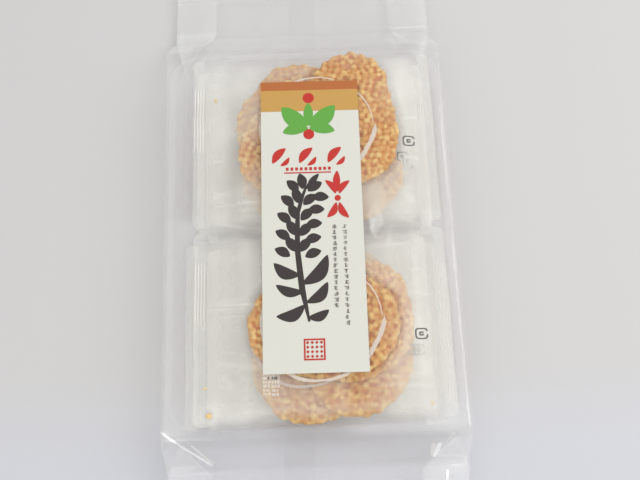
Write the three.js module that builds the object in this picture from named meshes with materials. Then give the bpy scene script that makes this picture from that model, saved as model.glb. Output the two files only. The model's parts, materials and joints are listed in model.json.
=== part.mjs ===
// A clear side-gusset bag of rice crackers, lying on its back, with a paper strip label on its face.
// Units are millimetres. +Z is up, +X is to the label's right and +Y is towards the label's head.
// The origin is the middle of the bag's outline, on the surface that it lies on.
//
// The bag is drawn tight round a shallow tray: a block as large as the tray, whose film runs down at each
// end into a flat flap. Where a flap begins, the side gusset folds in and leaves a V-shaped pocket.

import * as THREE from "three";

// Driving dimensions.
const TRAY = { width: 160, length: 213, depth: 36, baseInset: 5, edgeRadius: 2.5 };
const BAG_LENGTH = 340;
const FLAP = { width: 156, thickness: 1.2, waveHeight: 0.7, waveLength: 52 };
const GUSSET_DEPTH = 25;
const FAR_END = { slope: 33, height: 5, endHeight: 5 }; // the slope's run, and how high its flap lies
const NEAR_END = { slope: 21, height: 17, endHeight: 7 };
const SEAL = { width: 8, ribs: 4, ribHeight: 0.35 };
const LABEL = { width: 55.4, length: 165.6, thickness: 0.4, x: 1.8, y: 5.2, turnDeg: -0.6 };
const LABEL_GAP = 0.3;
const LABEL_BED = { height: 36.8, blend: 10 }; // the film is held flat under the label

// What presses the film up: two stacks of packets, and the cracker that lies uppermost in each.
const STACKS = [
  { x: 3, y: 59, halfWidth: 70, halfLength: 48, rise: 1.0 },
  { x: 3, y: -50, halfWidth: 72, halfLength: 52, rise: 1.2 },
];
const TOP_CRACKERS = [
  { x: 19, y: 66, halfWidth: 36, halfLength: 40, rise: 0.8 },
  { x: 5.5, y: -48, halfWidth: 42, halfLength: 34, rise: 0.8 },
];
const VALLEY = { y: 4, halfLength: 14, drop: 1.6 }; // the dip between the stacks

// How finely the shell is divided.
const COLUMNS = 24;
const BODY_STEPS = 34;
const SLOPE_STEPS = 8;
const FLAP_STEPS = 5;
const EDGE_STEPS = 2;
const SIDE_STEPS = 6;
const BASE_COLUMNS = 4;

const HALF = { width: TRAY.width / 2, tray: TRAY.length / 2, bag: BAG_LENGTH / 2 };

const mix = (a, b, share) => a + (b - a) * share;
const clamp = (value) => Math.min(1, Math.max(0, value));
const ease = (share) => share * share * (3 - 2 * share);

// 1 at the centre of an oval patch, 0 at its rim and beyond, with a smooth foot.
function mound(x, y, patch) {
  const reach = Math.hypot((x - patch.x) / patch.halfWidth, (y - patch.y) / patch.halfLength);
  return ease(clamp(1 - reach));
}

// 1 over the middle of a rectangular patch, falling smoothly to 0 at its sides.
function pillow(x, y, patch) {
  const across = clamp(1 - Math.abs(x - patch.x) / patch.halfWidth);
  const along = clamp(1 - Math.abs(y - patch.y) / patch.halfLength);
  return ease(Math.min(1, across * 2.2)) * ease(Math.min(1, along * 2.2));
}

// How much the label holds the film flat at a point: 1 under it, 0 a short way outside.
function underLabel(x, y) {
  const outX = Math.abs(x - LABEL.x) - LABEL.width / 2 - 2;
  const outY = Math.abs(y - LABEL.y) - LABEL.length / 2 - 2;
  const out = Math.hypot(Math.max(0, outX), Math.max(0, outY));
  return ease(clamp(1 - out / LABEL_BED.blend));
}

// The height of the bag's face over the tray.
function faceHeight(x, y) {
  let height = TRAY.depth;
  for (const stack of STACKS) height += stack.rise * pillow(x, y, stack);
  for (const cracker of TOP_CRACKERS) height += cracker.rise * mound(x, y, cracker);
  const inValley = ease(clamp(1 - Math.abs(y - VALLEY.y) / VALLEY.halfLength));
  const fromSide = ease(clamp((HALF.width - Math.abs(x)) / 20));
  height -= VALLEY.drop * inValley * fromSide;
  return mix(height, LABEL_BED.height, underLabel(x, y));
}

// The middle height of a flap at a distance past the tray, with a slow wave across it.
function flapHeight(x, beyond, end) {
  const reach = HALF.bag - HALF.tray;
  const settled = clamp((beyond - end.slope) / (reach - end.slope));
  const level = mix(end.height, end.endHeight, ease(settled));
  const wave = Math.cos((2 * Math.PI * x) / FLAP.waveLength) * FLAP.waveHeight;
  return level + wave * ease(clamp(beyond / end.slope));
}

// The raised lines pressed into the heat seal along the bag's two ends.
function sealRib(y) {
  const inside = Math.abs(y) - (HALF.bag - SEAL.width);
  if (inside <= 0) return 0;
  return SEAL.ribHeight * Math.abs(Math.sin((Math.PI * SEAL.ribs * inside) / SEAL.width));
}

// One closed ring round the bag at a station y, clockwise as seen from the near end looking along +Y:
// the face from left to right, the right side down, the back from right to left, the left side up.
function ringAt(y) {
  const end = y > 0 ? FAR_END : NEAR_END;
  const beyond = Math.max(0, Math.abs(y) - HALF.tray);
  const share = clamp(beyond / end.slope);
  const closed = ease(share);
  const half = mix(HALF.width, FLAP.width / 2, closed);
  const base = mix(HALF.width - TRAY.baseInset, FLAP.width / 2, closed);
  const halfSheet = FLAP.thickness / 2 + sealRib(y);

  const faceZ = (x) => mix(faceHeight(x, Math.sign(y) * Math.min(Math.abs(y), HALF.tray)),
    flapHeight(x, beyond, end) + halfSheet, closed);
  const backZ = (x) => mix(0, flapHeight(x, beyond, end) - halfSheet, closed);

  const open = faceZ(half) - backZ(half); // the height of the open side
  const radius = Math.min(TRAY.edgeRadius, open / 3);
  const fold = GUSSET_DEPTH * Math.sin(Math.PI * Math.min(1, share * 1.02)) ** 0.8 * clamp(open / 14);

  const ring = [];
  const inner = half - radius;
  for (let i = 0; i <= COLUMNS; i++) {
    const x = mix(-inner, inner, i / COLUMNS);
    ring.push([x, faceZ(x)]);
  }
  const side = (sign) => {
    const points = [];
    for (let i = 1; i <= EDGE_STEPS; i++) {
      const turn = (Math.PI / 2) * (i / EDGE_STEPS);
      points.push([inner + radius * Math.sin(turn), faceZ(half) - radius * (1 - Math.cos(turn))]);
    }
    const top = faceZ(half) - radius;
    const foot = backZ(base) + radius;
    for (let i = 1; i < SIDE_STEPS; i++) {
      const down = i / SIDE_STEPS;
      const tuck = fold * (1 - Math.abs(2 * down - 1));
      points.push([mix(half, base, down) - tuck, mix(top, foot, down)]);
    }
    for (let i = 0; i <= EDGE_STEPS; i++) {
      const turn = (Math.PI / 2) * (i / EDGE_STEPS);
      points.push([base - radius * (1 - Math.cos(turn)), foot - radius * Math.sin(turn)]);
    }
    return points.map(([x, z]) => [sign * x, z]);
  };
  ring.push(...side(1));
  const foot = base - radius;
  for (let i = 1; i < BASE_COLUMNS; i++) {
    const x = mix(foot, -foot, i / BASE_COLUMNS);
    ring.push([x, backZ(x)]);
  }
  ring.push(...side(-1).reverse());
  return ring.map(([x, z]) => new THREE.Vector3(x, y, z));
}

// Stations along the bag from the near end to the far one, closer together where the film bends.
function stations() {
  const list = [];
  const run = (from, to, steps) => {
    for (let i = 0; i < steps; i++) list.push(mix(from, to, i / steps));
  };
  const seal = HALF.bag - SEAL.width;
  run(-HALF.bag, -seal, SEAL.ribs * 2);
  run(-seal, -HALF.tray - NEAR_END.slope, FLAP_STEPS);
  run(-HALF.tray - NEAR_END.slope, -HALF.tray, SLOPE_STEPS);
  run(-HALF.tray, HALF.tray, BODY_STEPS);
  run(HALF.tray, HALF.tray + FAR_END.slope, SLOPE_STEPS);
  run(HALF.tray + FAR_END.slope, seal, FLAP_STEPS);
  run(seal, HALF.bag, SEAL.ribs * 2);
  list.push(HALF.bag);
  return list;
}

// A closed skin through a list of rings with equal point counts, capped at both ends.
function loft(rings) {
  const size = rings[0].length;
  const points = rings.flat();
  const faces = [];
  for (let r = 0; r + 1 < rings.length; r++) {
    for (let i = 0; i < size; i++) {
      const a = r * size + i;
      const b = r * size + ((i + 1) % size);
      faces.push(a, b, a + size, b, b + size, a + size);
    }
  }
  const cap = (ring, first, flip) => {
    const outline = ring.map((p) => new THREE.Vector2(p.x, p.z));
    for (const [a, b, c] of THREE.ShapeUtils.triangulateShape(outline, [])) {
      faces.push(...(flip ? [first + c, first + b, first + a] : [first + a, first + b, first + c]));
    }
  };
  cap(rings[0], 0, false);
  cap(rings.at(-1), (rings.length - 1) * size, true);
  const geometry = new THREE.BufferGeometry().setFromPoints(points);
  geometry.setIndex(faces);
  geometry.computeVertexNormals();
  return geometry;
}

function bag() {
  const film = new THREE.MeshStandardMaterial({ color: 0xe6dccb, roughness: 0.15, metalness: 0 });
  const mesh = new THREE.Mesh(loft(stations().map(ringAt)), film);
  mesh.name = "bag";
  return mesh;
}

function label() {
  const paper = new THREE.MeshStandardMaterial({ color: 0xe9e8e0, roughness: 0.7, metalness: 0 });
  const strip = new THREE.BoxGeometry(LABEL.width, LABEL.length, LABEL.thickness);
  const mesh = new THREE.Mesh(strip, paper);
  mesh.name = "label";
  mesh.position.set(LABEL.x, LABEL.y, LABEL_BED.height + LABEL_GAP + LABEL.thickness / 2);
  mesh.rotation.z = THREE.MathUtils.degToRad(LABEL.turnDeg);
  return mesh;
}

const part = new THREE.Group();
part.add(bag(), label());
export default part;
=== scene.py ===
# %% [markdown]
# # A clear bag of puffed rice crackers
# The object is a side-gusset bag of clear film. It holds a shallow tray with two stacks of packets, and each
# packet holds two rice crackers. A long paper label lies on the bag's face. Nothing here is opaque except
# the crackers, the label and the printing, so most of the lesson is about thin clear film: where it lies
# on something it looks clear, and where it bridges a gap it looks milky.

# %% Load the fixed frame
import json
import math

import bmesh
import bpy
import numpy as np
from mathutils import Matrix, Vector

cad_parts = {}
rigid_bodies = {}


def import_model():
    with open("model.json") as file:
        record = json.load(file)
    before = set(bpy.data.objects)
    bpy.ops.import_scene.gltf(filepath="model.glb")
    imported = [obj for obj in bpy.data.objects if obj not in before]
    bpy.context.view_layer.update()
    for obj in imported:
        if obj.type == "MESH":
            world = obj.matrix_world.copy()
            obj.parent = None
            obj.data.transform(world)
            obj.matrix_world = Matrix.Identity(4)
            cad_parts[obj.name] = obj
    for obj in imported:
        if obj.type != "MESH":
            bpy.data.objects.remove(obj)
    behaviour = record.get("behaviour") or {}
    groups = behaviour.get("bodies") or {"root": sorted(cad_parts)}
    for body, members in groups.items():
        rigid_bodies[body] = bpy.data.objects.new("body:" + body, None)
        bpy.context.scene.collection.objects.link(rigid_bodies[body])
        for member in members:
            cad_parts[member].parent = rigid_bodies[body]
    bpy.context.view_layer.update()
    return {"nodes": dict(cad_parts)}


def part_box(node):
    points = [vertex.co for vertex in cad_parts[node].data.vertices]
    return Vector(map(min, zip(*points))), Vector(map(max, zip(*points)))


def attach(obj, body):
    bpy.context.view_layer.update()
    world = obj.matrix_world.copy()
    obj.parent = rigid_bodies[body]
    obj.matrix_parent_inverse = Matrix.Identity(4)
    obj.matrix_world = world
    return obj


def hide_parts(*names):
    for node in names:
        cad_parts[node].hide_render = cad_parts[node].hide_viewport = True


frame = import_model()
MM = 0.001
BODY = "root"
bag_low, bag_high = (np.array(corner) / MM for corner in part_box("bag"))
label_low, label_high = (np.array(corner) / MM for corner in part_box("label"))
print("bag, mm:", np.round(bag_high - bag_low, 1), "label, mm:", np.round(label_high - label_low, 1))

# %% [markdown]
# ## The camera, the floor and the light
# The pack was seen from above, a little from its near end, in soft and very even daylight. A white sky does
# most of the work, because clear film shows little but what it reflects. It is brighter overhead: a film
# only looks whiter than the table under it where it mirrors something that is brighter than the table. A
# large lamp on the right adds a slight slope of brightness, and one in front lets the folds shine.

# %% Camera, at the photograph's place and angle
CAMERA_PLACE = (1.5, -109.4, 421.1)  # millimetres
CAMERA_TILT = math.radians(15.02)
CAMERA_TURN = math.radians(-2.21)
LENS = 41.24
SENSOR = 36

camera = bpy.data.objects.new("camera", bpy.data.cameras.new("camera"))
camera.location = [value * MM for value in CAMERA_PLACE]
camera.rotation_euler = (CAMERA_TILT, 0, CAMERA_TURN)
camera.data.lens = LENS
camera.data.sensor_width = SENSOR
camera.data.clip_start = 0.01
bpy.context.collection.objects.link(camera)
bpy.context.scene.camera = camera
bpy.context.scene.view_settings.view_transform = "Standard"
bpy.context.scene.cycles.transparent_max_bounces = 64
bpy.context.scene.cycles.max_bounces = 16
bpy.context.scene.cycles.diffuse_bounces = 8
bpy.context.scene.cycles.glossy_bounces = 8
print("camera is", round(CAMERA_PLACE[2]), "mm above the table")


# %% Colours as they are read on a screen, turned to the linear values that shaders use
def srgb(red, green, blue):
    channels = [value / 255 for value in (red, green, blue)]
    return [c / 12.92 if c <= 0.04045 else ((c + 0.055) / 1.055) ** 2.4 for c in channels] + [1.0]


# %% [markdown]
# ## A small language for node trees
# Node trees are long to write by hand. `Socket` wraps one output and overloads the arithmetic operators, so
# that `1 - mask * 0.5` adds its own Math nodes. `Tree.add` makes any other node from its type, its settings
# and the values or links of its inputs. Both serve materials and Geometry Nodes alike.

# %% Sockets that can be summed, and a tree that adds nodes
class Socket:
    def __init__(self, tree, out):
        self.tree, self.out = tree, out

    def math(self, operation, *others):
        values = {index: value for index, value in enumerate((self, *others))}
        return self.tree.add("ShaderNodeMath", {"operation": operation}, values)

    def __add__(self, other):
        return self.math("ADD", other)

    def __sub__(self, other):
        return self.math("SUBTRACT", other)

    def __rsub__(self, other):
        return self.tree.add("ShaderNodeMath", {"operation": "SUBTRACT"}, {0: other, 1: self})

    def __mul__(self, other):
        return self.math("MULTIPLY", other)

    def __pow__(self, other):
        return self.math("POWER", other)

    def clamp(self, low=0.0, high=1.0):
        return self.tree.add("ShaderNodeClamp", {}, {"Value": self, "Min": low, "Max": high})

    __radd__ = __add__
    __rmul__ = __mul__


class Tree:
    def __init__(self, nodes_tree):
        self.tree = nodes_tree

    def add(self, kind, settings=None, inputs=None, output=0):
        node = self.tree.nodes.new(kind)
        for key, value in (settings or {}).items():
            if key == "stops":
                self.set_stops(node.color_ramp, value)
            else:
                setattr(node, key, value)
        for key, value in (inputs or {}).items():
            if isinstance(value, Socket):
                self.tree.links.new(value.out, node.inputs[key])
            else:
                node.inputs[key].default_value = value
        return Socket(self, node.outputs[output]) if node.outputs else node

    @staticmethod
    def set_stops(ramp, stops):
        while len(ramp.elements) < len(stops):
            ramp.elements.new(1.0)
        for element, (place, colour) in zip(ramp.elements, stops):
            element.position, element.color = place, colour


class Material(Tree):
    def __init__(self, name):
        self.material = bpy.data.materials.new(name)
        self.material.use_nodes = True
        super().__init__(self.material.node_tree)
        self.tree.nodes.clear()
        self.place = self.add("ShaderNodeTexCoord", output="Object")

    def noise(self, scale_per_mm, detail=2.0, output=0):
        inputs = {"Vector": self.place, "Scale": scale_per_mm / MM, "Detail": detail}
        return self.add("ShaderNodeTexNoise", {}, inputs, output)

    def attribute(self, name):
        return self.add("ShaderNodeAttribute", {"attribute_name": name}, output="Fac")

    def blend(self, factor, first, second):
        settings = {"data_type": "RGBA"}
        return self.add("ShaderNodeMix", settings, {0: factor, 6: first, 7: second}, output=2)

    def bump(self, height, strength, depth_mm):
        inputs = {"Height": height, "Strength": strength, "Distance": depth_mm * MM}
        return self.add("ShaderNodeBump", {}, inputs)

    def principled(self, **inputs):
        named = {key.replace("_", " "): value for key, value in inputs.items()}
        return self.add("ShaderNodeBsdfPrincipled", {}, named)

    def finish(self, shader):
        self.add("ShaderNodeOutputMaterial", {}, {"Surface": shader})
        return self.material


# %% [markdown]
# The floor is a plain pale tabletop. It belongs to the stage, not to the object. It is broad and matt, with
# a very faint unevenness, so that the pack's own clear edges are what the eye finds. Its colour turns a
# little bluish towards the near side: painted light, for a bluish light from that side.

# %% The floor
FLOOR_SIZE = 6.0
FLOOR_FAR = srgb(205, 204, 204)
FLOOR_NEAR_BLUISH_LIGHT = srgb(205, 206, 212)
FLOOR_LIGHT_TURN = (-115.0, 40.0)  # where the painted bluish light starts to change the colour, and over how many millimetres


def floor_material():
    tree = Material("pale tabletop with painted light")
    mottle = tree.noise(0.004, 3.0)
    place = tree.add("ShaderNodeSeparateXYZ", {}, {0: tree.place}, output=1)
    far = ((place * (1 / MM) - FLOOR_LIGHT_TURN[0]) * (1 / FLOOR_LIGHT_TURN[1]) + (mottle - 0.5) * 0.4).clamp()
    # painted light: the floor turns bluish towards the near side, as a bluish light from there would make it
    colour = tree.blend(far, FLOOR_NEAR_BLUISH_LIGHT, FLOOR_FAR)
    return tree.finish(tree.principled(Base_Color=colour, Roughness=0.9))


half = FLOOR_SIZE / 2
floor_corners = [(-half, -half, 0), (half, -half, 0), (half, half, 0), (-half, half, 0)]
floor_mesh = bpy.data.meshes.new("tabletop")
floor_mesh.from_pydata(floor_corners, [], [(0, 1, 2, 3)])
floor_mesh.materials.append(floor_material())
floor = bpy.data.objects.new("tabletop", floor_mesh)
bpy.context.collection.objects.link(floor)

# %% The sky, brighter overhead than at its sides, and two lamps
SKY_SIDE = 0.275
SKY_RISE = 0.78  # how much brighter the sky is overhead
LAMPS = [  # name, place in metres, size in metres, power in watts
    ("window", (1.0, 0.25, 1.1), 1.1, 9.0),
    ("doorway", (-0.5, -1.0, 1.0), 0.7, 1.9),
]

world = bpy.data.worlds.new("daylight")
world.use_nodes = True
bpy.context.scene.world = world
sky = Tree(world.node_tree)
direction = sky.add("ShaderNodeTexCoord", output="Generated")
height = sky.add("ShaderNodeSeparateXYZ", {}, {0: direction}, output=2)
strength = height.clamp() * SKY_RISE + SKY_SIDE
background = world.node_tree.nodes["Background"]
background.inputs["Color"].default_value = (1.0, 0.995, 0.99, 1)
world.node_tree.links.new(strength.out, background.inputs["Strength"])
for name, place, size, power in LAMPS:
    lamp = bpy.data.objects.new(name, bpy.data.lights.new(name, "AREA"))
    lamp.data.size = size
    lamp.data.energy = power
    lamp.location = place
    lamp.rotation_euler = (-lamp.location).to_track_quat("-Z", "Y").to_euler()
    bpy.context.collection.objects.link(lamp)
print("lamps:", ", ".join(name for name, *_ in LAMPS))

# %% [markdown]
# ## Making pieces
# Every piece is worked out in millimetres as arrays of points, and turned to metres once, when its mesh is
# made. `grid_faces` joins a grid of points, and `neighbour_mean` is one step of a plain smoothing, for what
# the remeshing below leaves a little stepped. `mend` merges doubles and turns every face outwards.

# %% Helpers for meshes
def place_piece(name, mesh, material):
    mesh.name = name
    mesh.materials.clear()
    mesh.materials.append(material)
    piece = bpy.data.objects.new(name, mesh)
    bpy.context.collection.objects.link(piece)
    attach(piece, BODY)
    return piece


def add_values(mesh, name, values):
    mesh.attributes.new(name, "FLOAT", "POINT").data.foreach_set("value", np.asarray(values, np.float32))


def make_mesh(name, points, faces):
    mesh = bpy.data.meshes.new(name)
    mesh.from_pydata((np.asarray(points) * MM).tolist(), [], faces)
    return mesh


def make_piece(name, points, faces, material, milk=None):
    mesh = make_mesh(name, points, faces)
    if milk is not None:
        add_values(mesh, "milk", milk)
    mesh.shade_smooth()
    return place_piece(name, mesh, material)


def mend(mesh, apart_mm):
    """Merges points that lie closer than apart_mm, and turns the faces outwards."""
    shell = bmesh.new()
    shell.from_mesh(mesh)
    bmesh.ops.remove_doubles(shell, verts=shell.verts, dist=apart_mm * MM)
    bmesh.ops.recalc_face_normals(shell, faces=shell.faces)
    shell.to_mesh(mesh)
    shell.free()


def grid_faces(rows, columns, start=0, wrap=False):
    faces = []
    for row in range(rows - 1):
        for column in range(columns if wrap else columns - 1):
            a = start + row * columns + column
            b = start + row * columns + (column + 1) % columns
            faces.append((a, b, b + columns, a + columns))
    return faces


def points_of(mesh):
    points = np.empty(len(mesh.vertices) * 3)
    mesh.vertices.foreach_get("co", points)
    return points.reshape(-1, 3) / MM


def neighbour_mean(points, edges):
    """Each point's mean place among the points that an edge joins it to."""
    here, there = np.concatenate([edges, edges[:, ::-1]]).T
    count = np.bincount(here, minlength=len(points))
    sums = [np.bincount(here, points[there, axis], minlength=len(points)) for axis in range(3)]
    return np.stack(sums, -1) / count[:, None]


def ease(share):
    share = np.clip(share, 0, 1)
    return share * share * (3 - 2 * share)


def mix(first, second, share):
    return first + (second - first) * share


# %% [markdown]
# ## The crackers
# Each cracker is a thin disc of rice grains that puffed up and stuck together, about 7 cm across and 5 mm
# thick. The bumps that show are the grains themselves, so they are made as grains: an oval core carries
# several hundred of them, laid flat on it at random by Geometry Nodes, and a voxel remesh fuses them into
# one crust. Noise on a smooth disc would give hills, but not the sharp valleys between rounded grains.

# %% The toasted finish: pale tops, orange-brown valleys darkened as painted shade, and patches that browned more
def cracker_material():
    tree = Material("toasted puffed rice with painted shade")
    valley = tree.attribute("valley")
    patch = tree.noise(0.13, 3.0)
    speck = tree.noise(0.55, 2.0)
    lot = ((tree.noise(0.26, 1.0) - 0.5) * 4.5 + 0.5).clamp()
    tops = tree.blend(lot, srgb(228, 194, 120), srgb(210, 152, 78))
    sides = tree.blend(speck, srgb(197, 136, 54), srgb(191, 122, 46))
    warm = tree.blend(((patch - 0.5) * 3.4 + 0.45).clamp() * 0.8, tops, srgb(198, 138, 60))
    # painted shade: the deeper a spot lies between the grains, the darker and browner it is painted, over
    # the crackers' own toasted colour
    colour = tree.blend((valley * 1.5).clamp(), warm, sides)
    colour = tree.blend(((valley - 0.55) * 1.8).clamp(), colour, srgb(186, 104, 38))
    bump = tree.bump(tree.noise(1.4, 3.0), 0.35, 0.25)
    return tree.finish(tree.principled(Base_Color=colour, Roughness=0.62 - speck * 0.25, Normal=bump,
                                       Specular_IOR_Level=0.4))


CRACKER_FINISH = cracker_material()

# %% A node tree that lays grains over a core
RIM_GRAIN = 1.2  # how far the outermost grains stand out past the core
GRAIN = {"length": 5.5, "width": 4.3, "thickness": 3.7, "spacing": 3.3}
GRAIN_GROWTH = (0.65, 1.15)  # the smallest and the largest grain, as a share of that
GRAIN_LEAN = 0.35  # how far a grain may lean, in radians
CORE_THICKNESS = 2.2
OUTLINE_WAVES = [(2, 0.012), (3, 0.016), (4, 0.012), (5, 0.010), (7, 0.007)]
CRUST_VOXEL = [0.8, 0.7, 0.56]  # finer in the packets that lie higher


def grain_tree():
    group = bpy.data.node_groups.new("laid grains", "GeometryNodeTree")
    interface = group.interface
    interface.new_socket("Core", in_out="INPUT", socket_type="NodeSocketGeometry")
    for name, size in (("Grain Length", "length"), ("Grain Width", "width"),
                       ("Grain Thickness", "thickness"), ("Spacing", "spacing")):
        socket = interface.new_socket(name, in_out="INPUT", socket_type="NodeSocketFloat")
        socket.default_value = GRAIN[size] * MM
    interface.new_socket("Seed", in_out="INPUT", socket_type="NodeSocketInt")
    interface.new_socket("Finish", in_out="INPUT", socket_type="NodeSocketMaterial")
    interface.new_socket("Crust", in_out="OUTPUT", socket_type="NodeSocketGeometry")
    tree = Tree(group)
    entry = group.nodes.new("NodeGroupInput")
    given = {socket.name: Socket(tree, socket) for socket in entry.outputs if socket.name}
    points = group.nodes.new("GeometryNodeDistributePointsOnFaces")
    points.distribute_method = "POISSON"
    points.inputs["Density Max"].default_value = 1e6
    group.links.new(given["Core"].out, points.inputs["Mesh"])
    group.links.new(given["Spacing"].out, points.inputs["Distance Min"])
    group.links.new(given["Seed"].out, points.inputs["Seed"])
    grain = tree.add("GeometryNodeMeshIcoSphere", {}, {"Radius": 0.5, "Subdivisions": 2})
    size = tree.add("ShaderNodeCombineXYZ", {}, {
        "X": given["Grain Length"], "Y": given["Grain Width"], "Z": given["Grain Thickness"]})
    grain = tree.add("GeometryNodeTransform", {}, {"Geometry": grain, "Scale": size})
    turn = tree.add("FunctionNodeRandomValue", {"data_type": "FLOAT_VECTOR"},
                    {"Min": (-GRAIN_LEAN, -GRAIN_LEAN, -math.pi),
                     "Max": (GRAIN_LEAN, GRAIN_LEAN, math.pi), "Seed": given["Seed"]})
    rotation = tree.add("FunctionNodeRotateRotation", {"rotation_space": "LOCAL"},
                        {0: Socket(tree, points.outputs["Rotation"]), 1: turn})
    growth = tree.add("FunctionNodeRandomValue", {"data_type": "FLOAT"},
                      {2: GRAIN_GROWTH[0], 3: GRAIN_GROWTH[1], "Seed": given["Seed"] + 7}, output=1)
    laid = tree.add("GeometryNodeInstanceOnPoints", {}, {
        "Points": Socket(tree, points.outputs["Points"]), "Instance": grain, "Rotation": rotation,
        "Scale": growth})
    joined = group.nodes.new("GeometryNodeJoinGeometry")
    group.links.new(laid.out, joined.inputs[0])
    group.links.new(given["Core"].out, joined.inputs[0])
    solid = tree.add("GeometryNodeRealizeInstances", {}, {"Geometry": Socket(tree, joined.outputs[0])})
    painted = tree.add("GeometryNodeSetMaterial", {}, {"Geometry": solid, "Material": given["Finish"]})
    group.links.new(painted.out, group.nodes.new("NodeGroupOutput").inputs[0])
    return group


GRAIN_TREE = grain_tree()
GRAIN_INPUTS = {item.name: item.identifier for item in GRAIN_TREE.interface.items_tree
                if item.in_out == "INPUT"}
print("grain tree:", len(GRAIN_TREE.nodes), "nodes; inputs", ", ".join(GRAIN_INPUTS))


# %% The core: an uneven oval lens
def outline_of(cracker, rng):
    """Sixteen shares of the plain oval, anticlockwise from +X: how far the outline reaches there."""
    if "edge" in cracker:
        return cracker["edge"]
    turns = np.linspace(0, 2 * math.pi, 16, endpoint=False)
    waves = [size * np.cos(count * turns + rng.uniform(0, 2 * math.pi)) for count, size in OUTLINE_WAVES]
    return 1 + sum(waves)


def uneven(angles, outline):
    """How far a closed outline reaches at each angle: a smooth curve through its sixteen shares."""
    place = angles % (2 * math.pi) * len(outline) / (2 * math.pi)
    before = np.floor(place).astype(int)
    around = [np.take(outline, before + step, mode="wrap") for step in (-1, 0, 1, 2)]
    u = place - before
    weights = ((-u + 2 * u ** 2 - u ** 3) / 2, 1 - 2.5 * u ** 2 + 1.5 * u ** 3,
               (u + 4 * u ** 2 - 3 * u ** 3) / 2, (u ** 3 - u ** 2) / 2)
    return sum(share * weight for share, weight in zip(around, weights))


def core_mesh(cracker, outline, spokes=96, rings=16):
    """Two shells, one above the other, that are merged along their rim."""
    angles = np.linspace(0, 2 * math.pi, spokes, endpoint=False)
    reaches = uneven(angles, outline)
    half_x, half_y = (size / 2 - RIM_GRAIN for size in cracker["size"])
    points = []
    for side in (1, -1):
        for share in np.sin(np.linspace(0, math.pi / 2, rings + 1))[1:]:
            height = side * CORE_THICKNESS / 2 * (1 - share ** 6) ** 0.5
            across, along = half_x * share * reaches, half_y * share * reaches
            points += zip(across * np.cos(angles), along * np.sin(angles), [height] * spokes)
    count = rings * spokes
    points += [(0, 0, CORE_THICKNESS / 2), (0, 0, -CORE_THICKNESS / 2)]
    faces = grid_faces(rings, spokes, 0, wrap=True)
    faces += [face[::-1] for face in grid_faces(rings, spokes, count, wrap=True)]
    for i in range(spokes):
        after = (i + 1) % spokes
        faces += [(2 * count, i, after), (2 * count + 1, count + after, count + i)]
    mesh = make_mesh("core", points, faces)
    mend(mesh, 0.02)
    return mesh


# %% From core to fused crust, lying where its packet holds it
def bake_crust(core, voxel, seed):
    piece = bpy.data.objects.new("crust", core)
    bpy.context.collection.objects.link(piece)
    grains = piece.modifiers.new("grains", "NODES")
    grains.node_group = GRAIN_TREE
    grains[GRAIN_INPUTS["Seed"]] = seed
    grains[GRAIN_INPUTS["Finish"]] = CRACKER_FINISH
    fuse = piece.modifiers.new("fuse", "REMESH")
    fuse.mode = "VOXEL"
    fuse.voxel_size = voxel * MM
    evaluated = piece.evaluated_get(bpy.context.evaluated_depsgraph_get())
    mesh = bpy.data.meshes.new_from_object(evaluated)
    bpy.data.objects.remove(piece)
    return mesh


PRESS = {"from": 0.97, "share": 0.4}  # past this share of the outline, so much of a grain still stands out
SMOOTHING = 1.8  # divided by the voxel's size, this gives the rounds that take the steps away
SURROUNDINGS = 6  # divided by the voxel's area, the rounds that take the grains away too
VALLEY_SHADE = {"level": 0.35, "depth": 0.6}  # the painted shade on even ground, and the depth below the surroundings that adds 1


def press_rim(points, cracker, outline):
    """The mould that a cracker is baked in stops its outermost grains, so its outline is nearly even."""
    x, y = points[:, 0], points[:, 1]
    half_x, half_y = (size / 2 for size in cracker["size"])
    reach = np.hypot(x / half_x, y / half_y)
    edge = uneven(np.arctan2(y / half_y, x / half_x), outline) * PRESS["from"]
    pressed = np.where(reach > edge, edge + (reach - edge) * PRESS["share"], reach)
    share = pressed / np.maximum(reach, 1e-6)
    return points * np.stack([share, share, np.ones_like(share)], -1)


def smoothed(points, edges, rounds, share=1.0):
    for _ in range(rounds):
        points = mix(points, neighbour_mean(points, edges), share)
    return points


def lay_down(points, cracker):
    """Bends a cracker a little, turns it and tilts it, and puts it where its packet holds it."""
    half_x, half_y = (size / 2 for size in cracker["size"])
    x, y, z = points.T
    z = z + cracker.get("bend", 0.5) * ((x / half_x) ** 2 - (y / half_y) ** 2 * 0.5)
    turn = math.radians(cracker.get("turn", 0))
    across, along = (math.radians(angle) for angle in cracker.get("tilt", (0, 0)))
    x, y = x * math.cos(turn) - y * math.sin(turn), x * math.sin(turn) + y * math.cos(turn)
    z = z + x * math.tan(across) + y * math.tan(along)
    return np.stack([x, y, z], -1) + cracker["at"]


def make_cracker(name, cracker, voxel, seed):
    outline = outline_of(cracker, np.random.default_rng(seed))
    mesh = bake_crust(core_mesh(cracker, outline), voxel, seed)
    edges = np.array([edge.vertices for edge in mesh.edges])
    normals = np.empty(len(mesh.vertices) * 3)
    mesh.vertices.foreach_get("normal", normals)
    points = smoothed(points_of(mesh), edges, round(SMOOTHING / voxel), 0.6)
    ground = smoothed(points, edges, round(SURROUNDINGS / voxel ** 2))
    depth = ((ground - points) * normals.reshape(-1, 3)).sum(1)  # below its surroundings
    # painted shade: spots that lie below their surroundings are stored darker, for the crust's colour
    add_values(mesh, "valley", np.clip(VALLEY_SHADE["level"] + depth / VALLEY_SHADE["depth"], 0, 1))
    points = lay_down(press_rim(points, cracker, outline), cracker)
    mesh.vertices.foreach_set("co", (points * MM).ravel())
    mesh.shade_smooth()
    return place_piece(name, mesh, CRACKER_FINISH)


# %% [markdown]
# Six packets lie in two stacks of three, and each holds two crackers, one on the other. Their places come
# from what the photograph shows through the film: in the far stack an upright oval covers a rounder one,
# and in the near stack a wide oval covers two paler ones that lie deeper. Where a cracker isn't a plain
# oval, "edge" says how far its rim reaches in sixteen directions.

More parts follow.
